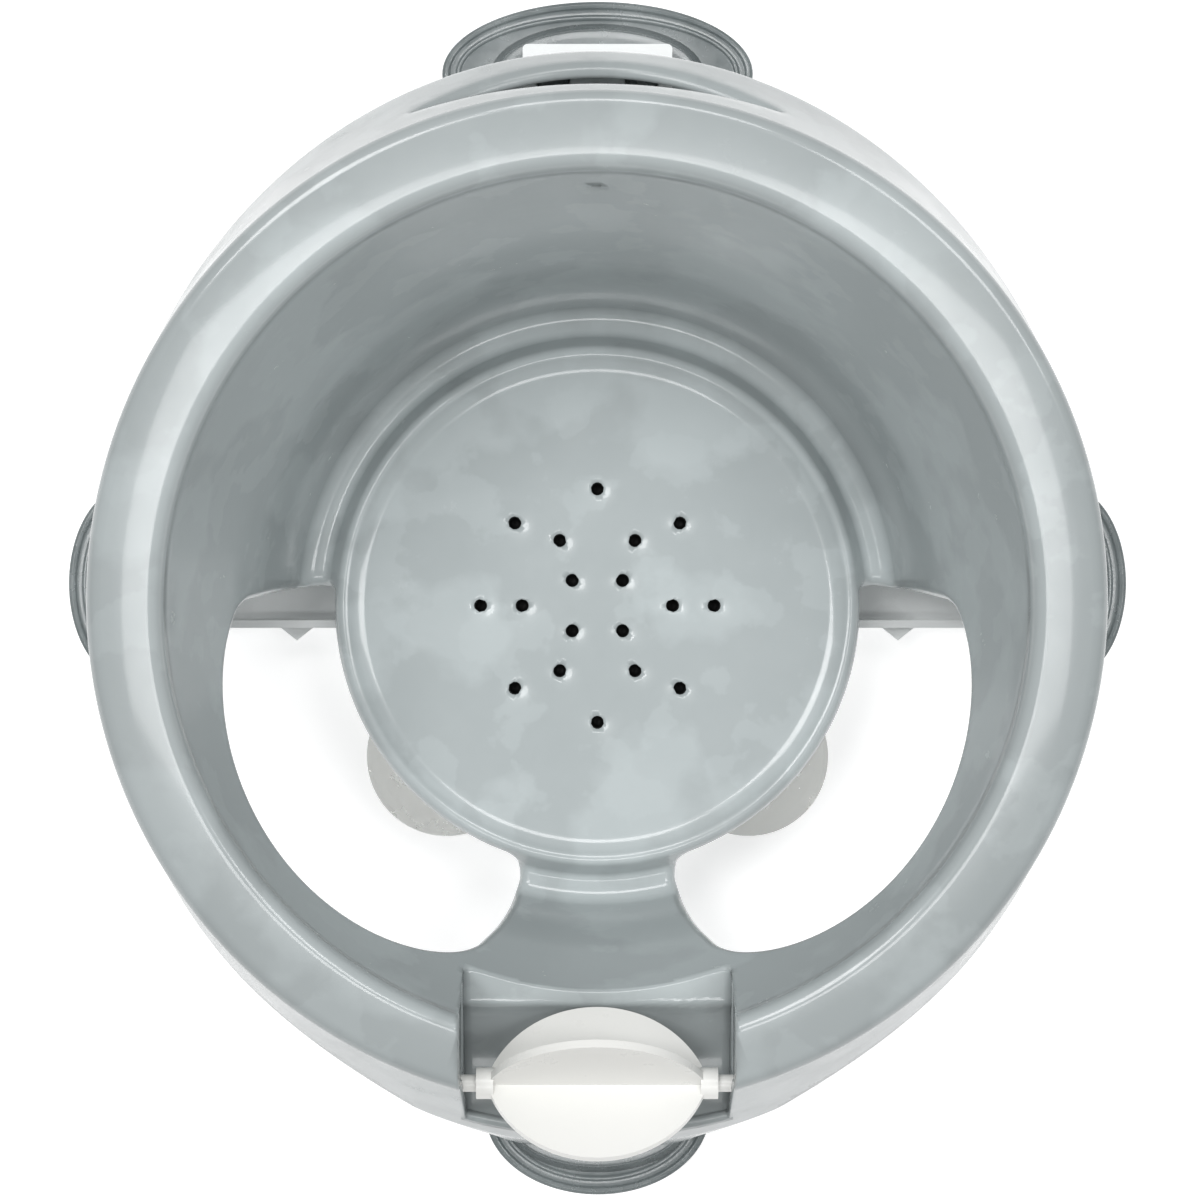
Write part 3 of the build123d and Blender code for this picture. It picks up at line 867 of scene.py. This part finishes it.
def make_bosses():
    """The screw bosses under the pan."""
    ring_r = screw_high[0] - SCREW_HEAD_R
    top = PAN_Z - BOSS_DROP
    corners = [(BOSS_BORE_R, PLATE_TOP), (BOSS_R, PLATE_TOP), (BOSS_R, top), (BOSS_BORE_R, top)]
    profile = rounded_profile(corners, 0.4)
    turns = [quarter * math.pi / 2 for quarter in range(4)]
    places = [(ring_r * math.cos(turn), ring_r * math.sin(turn)) for turn in turns]
    points, faces = join_forms(*[lathe(profile, 32, at=place) for place in places])
    bosses = make_object("pan_bosses", points, faces, SHELL_GREY)


def cup_stud(foot_z, dome_z, at):
    """The stud that snaps a cup into its hole: neck, then a head with a chamfered top."""
    head_z = dome_z + STUD_NECK_RISE
    top_z = dome_z + STUD_RISE
    corners = [
        (0.5, foot_z),
        (STUD_NECK_R, foot_z),
        (STUD_NECK_R, head_z),
        (STUD_HEAD_R, head_z),
        (STUD_HEAD_R, (head_z + top_z) / 2),
        (STUD_NECK_R, top_z),
        (0.5, top_z),
    ]
    return lathe(rounded_profile(corners, 0.5, 3), 40, at=at)


def make_outer_cup(node, dome, studs=((0.0, 0.0),)):
    """A smoky oval suction cup: beaded lip, flange with a ridge, dome, and studs."""
    low, high = box_mm(node)
    centre = ((low[0] + high[0]) / 2, (low[1] + high[1]) / 2 - SEAT_Y)
    half = ((high[0] - low[0]) / 2, (high[1] - low[1]) / 2)
    lug_z = high[2] - STUD_RISE
    flange = [
        (-9.0, 0.9), (-6.4, 0.9), (-1.6, 0.05), (0.0, 0.0), (0.0, 1.9), (-1.0, 2.3), (-2.0, 2.2),
        (-2.5, 1.2), (-4.2, 1.2), (-4.7, 1.9), (-5.5, 1.9), (-6.0, 1.2), (-9.0, 1.3),
    ]
    body = [
        (-3.8, lug_z - 2.4), (-1.6, lug_z - 2.8), (0.6, 1.0), (2.4, 1.2), (1.4, 2.0),
        (-0.2, 4.6), (-1.0, lug_z - 0.05), (-3.8, lug_z - 0.05),
    ]
    meet = (dome[0] + BAND_LAP, dome[1] + BAND_LAP)
    forms = [
        oval_band(rounded_profile(flange, 0.4, 3), half, meet, centre),
        lathe(rounded_profile(body, 0.8, 3), 128, oval=dome, at=centre),
    ]
    for x, y in studs:
        place = (centre[0] + x, centre[1] + y)
        forms.append(cup_stud(lug_z - 1.5, lug_z, place))
    cup = make_object(node + "_soft", *join_forms(*forms), SMOKE_VINYL)
    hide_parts(node)


def oval_band(profile, outer, inner, at, steps=128):
    """An open oval ring. The profile's innermost points are moved in to meet the inner oval."""
    low = min(radius for radius, _ in profile)
    points = []
    for turn in range(steps):
        c, s = math.cos(2 * math.pi * turn / steps), math.sin(2 * math.pi * turn / steps)
        for radius, height in profile:
            a, b = inner if radius == low else (outer[0] + radius, outer[1] + radius)
            points.append((at[0] + a * c, at[1] + b * s, height))
    count = len(profile)
    faces = [
        [turn * count + k, (turn + 1) % steps * count + k,
         (turn + 1) % steps * count + k + 1, turn * count + k + 1]
        for turn in range(steps)
        for k in range(count - 1)
    ]
    return points, faces


def make_inner_cup(node):
    """A milky round suction cup: thin curved skirt, thick neck, and a stud."""
    low, high = box_mm(node)
    centre = ((low[0] + high[0]) / 2, (low[1] + high[1]) / 2 - SEAT_Y)
    r = (high[0] - low[0]) / 2
    base = low[2]
    neck = high[2] - STUD_RISE
    under = [
        (1.0, base + 7.4), (5.0, base + 7.2), (0.55 * r, base + 4.8), (0.85 * r, base + 1.5),
    ]
    lip = [
        (r - 0.8, base), (r, base + 0.2), (r, base + 1.2), (r - 1.6, base + 1.9),
    ]
    back = [
        (0.84 * r, base + 3.4), (0.6 * r, base + 6.6), (9.0, neck - 3.0),
        (8.0, neck - 0.05), (1.0, neck - 0.05),
    ]
    forms = [
        lathe(rounded_profile(under + lip + back, 2.0, 4), 96, at=centre),
        cup_stud(neck - 1, neck, centre),
    ]
    cup = make_object(node + "_soft", *join_forms(*forms), MILKY_VINYL)
    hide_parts(node)


def dress(node, material, width=0.0):
    """Gives a CAD node its material, and softens its sharp edges."""
    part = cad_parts[node]
    part.data.materials.clear()
    part.data.materials.append(material)
    if width:
        soften(part, width)


# ---------------------------------------------------------------- camera, floor and light


def add_camera():
    """The camera, straight above the seat."""
    scene = bpy.context.scene
    scene.view_settings.view_transform = "Standard"
    camera_data = bpy.data.cameras.new("camera")
    camera_data.sensor_width = 36.0
    camera_data.lens = CAMERA_LENS
    camera_data.dof.use_dof = False
    camera = bpy.data.objects.new("camera", camera_data)
    camera.location = CAMERA_PLACE
    scene.collection.objects.link(camera)
    scene.camera = camera


def add_world():
    """Even white light from all round."""
    world = bpy.data.worlds.new("studio")
    world.use_nodes = True
    sky = world.node_tree.nodes["Background"]
    sky.inputs["Color"].default_value = (1.0, 1.0, 1.0, 1)
    sky.inputs["Strength"].default_value = 0.3
    bpy.context.scene.world = world


def add_floor():
    """The pale floor, just under the cups."""
    floor_mesh = bpy.data.meshes.new("floor")
    corners = [(x * FLOOR_HALF, y * FLOOR_HALF, 0) for x, y in ((-1, -1), (1, -1), (1, 1), (-1, 1))]
    floor_mesh.from_pydata(corners, [], [(0, 1, 2, 3)])
    g = Graph("pale_floor")
    g.set(Base_Color=(0.8, 0.8, 0.8, 1), Roughness=0.8, Specular_IOR_Level=0.1)
    g.set(Emission_Color=(1.0, 1.0, 1.0, 1), Emission_Strength=0.5)
    floor_mesh.materials.append(g.material)
    floor = bpy.data.objects.new("floor", floor_mesh)
    floor.location.z = -FLOOR_DROP
    bpy.context.scene.collection.objects.link(floor)


def add_softbox(name, place, width, height, power):
    """A rectangular soft light aimed at the seat's foot. Lengths are metres, and the power is watts."""
    data = bpy.data.lights.new(name, "AREA")
    data.shape = "RECTANGLE"
    data.size = width
    data.size_y = height
    data.energy = power
    light = bpy.data.objects.new(name, data)
    light.location = place
    light.rotation_euler = (-Vector(place)).to_track_quat("-Z", "Y").to_euler()
    bpy.context.scene.collection.objects.link(light)


# ---------------------------------------------------------------- the whole seat


make_shell()
make_pocket()
make_drain_collars()
make_bosses()
dress("base_frame", BASE_WHITE, 0.4)
dress("base_screws", STEEL)
for node in ("vane_plate_low", "vane_plate_high", "end_cap_left", "end_cap_right"):
    dress(node, TOY_WHITE, 0.3)
make_outer_cup("outer_cup_left", SIDE_DOME)
make_outer_cup("outer_cup_right", SIDE_DOME)
make_outer_cup("outer_cup_front", FRONT_DOME)
make_outer_cup("outer_cup_rear", REAR_DOME, REAR_STUDS)
for quarter in ("rear_right", "rear_left", "front_left", "front_right"):
    make_inner_cup("inner_cup_" + quarter)

add_camera()
add_world()
add_floor()
add_softbox("left_window", (-0.72, 0.3, 2.0), 0.6, 0.9, 18)
add_softbox("back_window", (0.1, 0.8, 2.0), 0.9, 0.5, 13)
add_softbox("front_fill", (0.0, -0.8, 2.1), 0.9, 0.4, 9)
add_softbox("right_fill", (0.85, 0.0, 2.0), 0.4, 0.9, 10)
